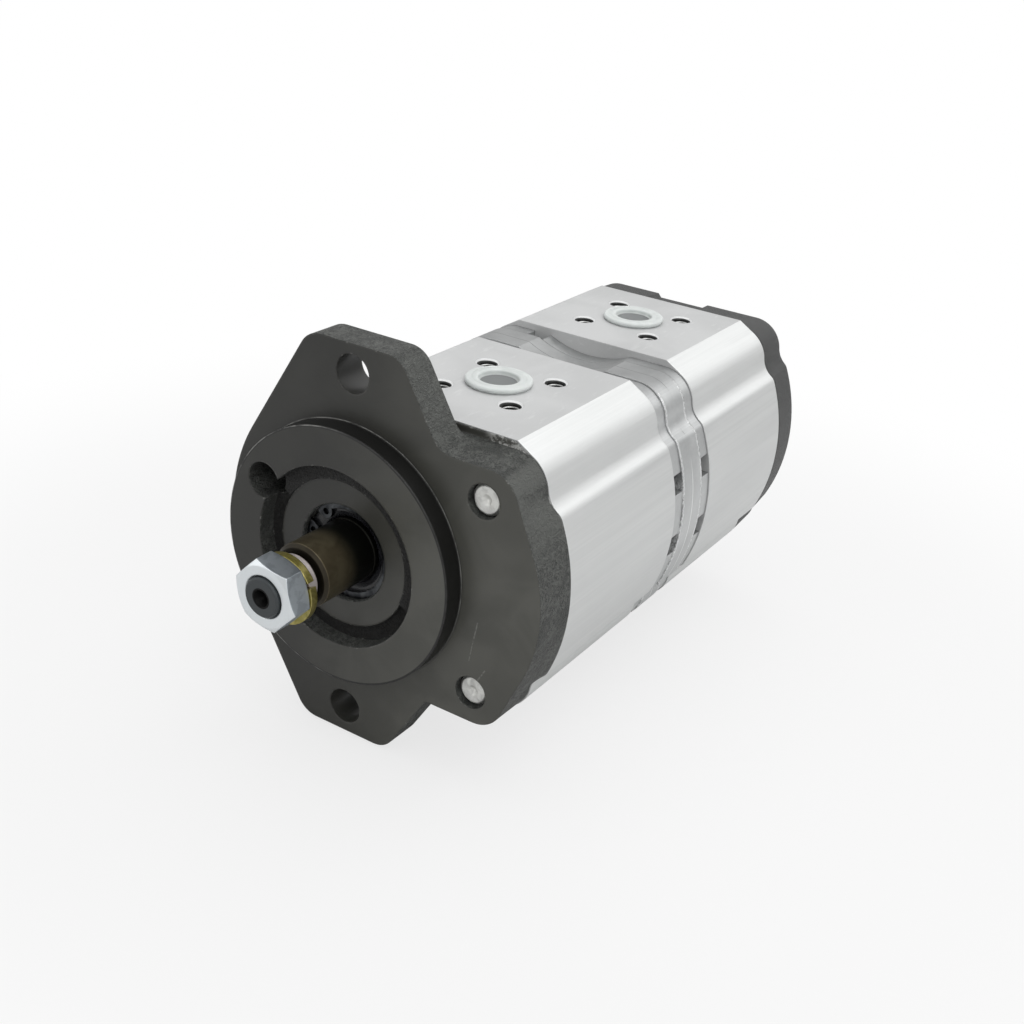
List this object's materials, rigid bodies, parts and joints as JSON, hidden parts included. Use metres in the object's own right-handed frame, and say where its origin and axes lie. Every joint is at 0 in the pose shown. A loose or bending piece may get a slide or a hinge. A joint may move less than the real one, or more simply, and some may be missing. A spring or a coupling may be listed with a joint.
{
  "type": "tandem gear pump",
  "caption": "Flange-mounted tandem external gear pump: keyed shaft end with nut, two-bolt flange with pilot, two extruded bodies in line joined by a cast coupling section, plugged ports.",
  "frame": {"origin": "on the drive shaft axis, in the plane of the mounting flange's front face", "axes": "+Y along the shaft into the pump, +Z toward the upper port faces, +X from the drive gear toward the driven gear"},
  "size_m": [0.1116, 0.2123, 0.1266],
  "materials": {
    "cast_black": "machined and cast, black",
    "extruded_aluminium": "extruded, satin",
    "end_plate_cast": "cast, matte",
    "housing_cast": "cast, matte",
    "cast_rear": "cast, matte black",
    "seal_rubber": "moulded",
    "ring_steel": "phosphated",
    "plug_plastic": "moulded, translucent white",
    "bolt_steel": "zinc plated, dulled",
    "block_aluminium": "turned",
    "bush_bronze": "bearing bronze",
    "shaft_steel": "preserved with brown film",
    "nut_zinc": "zinc plated",
    "washer_zinc": "yellow zinc plated",
    "gear_steel": "ground steel"
  },
  "bodies": {
    "housing": {"coupling_housing": "housing_cast", "front_body": "extruded_aluminium", "front_cover": "cast_black", "front_end_plate": "end_plate_cast", "front_front_bearing_block": "block_aluminium", "front_front_drive_bush": "bush_bronze", "front_front_driven_bush": "bush_bronze", "front_front_gasket": "seal_rubber", "front_front_pressure_seal": "seal_rubber", "front_inlet_plug": "plug_plastic", "front_outlet_plug": "plug_plastic", "front_rear_bearing_block": "block_aluminium", "front_rear_drive_bush": "bush_bronze", "front_rear_driven_bush": "bush_bronze", "front_rear_gasket": "seal_rubber", "front_rear_pressure_seal": "seal_rubber", "rear_body": "extruded_aluminium", "rear_cover": "cast_rear", "rear_end_plate": "end_plate_cast", "rear_front_bearing_block": "block_aluminium", "rear_front_drive_bush": "bush_bronze", "rear_front_driven_bush": "bush_bronze", "rear_front_gasket": "seal_rubber", "rear_front_pressure_seal": "seal_rubber", "rear_inlet_plug": "plug_plastic", "rear_outlet_plug": "plug_plastic", "rear_rear_bearing_block": "block_aluminium", "rear_rear_drive_bush": "bush_bronze", "rear_rear_driven_bush": "bush_bronze", "rear_rear_gasket": "seal_rubber", "rear_rear_pressure_seal": "seal_rubber", "retaining_ring": "ring_steel", "shaft_seal": "seal_rubber", "tie_bolts": "bolt_steel"},
    "drive_line": {"drive_shaft": "shaft_steel", "rear_drive_gear": "gear_steel", "shaft_coupling": "gear_steel", "shaft_key": "shaft_steel", "shaft_nut": "nut_zinc", "spring_washer": "washer_zinc"},
    "front_driven": {"front_driven_gear": "gear_steel"},
    "rear_driven": {"rear_driven_gear": "gear_steel"}
  },
  "joints": [
    {"name": "drive_spin", "type": "hinge", "parent": "housing", "child": "drive_line", "pos_m": [0, 0, 0], "axis": [0, -1, 0], "continuous": true},
    {"name": "front_driven_spin", "type": "hinge", "parent": "housing", "child": "front_driven", "pos_m": [0.0348, 0.0465, 0], "axis": [0, -1, 0], "continuous": true},
    {"name": "rear_driven_spin", "type": "hinge", "parent": "housing", "child": "rear_driven", "pos_m": [0.0348, 0.1312, 0], "axis": [0, -1, 0], "continuous": true}
  ],
  "couplings": [
    {"joint": "front_driven_spin", "follows": "drive_spin", "ratio": -1},
    {"joint": "rear_driven_spin", "follows": "drive_spin", "ratio": -1}
  ]
}
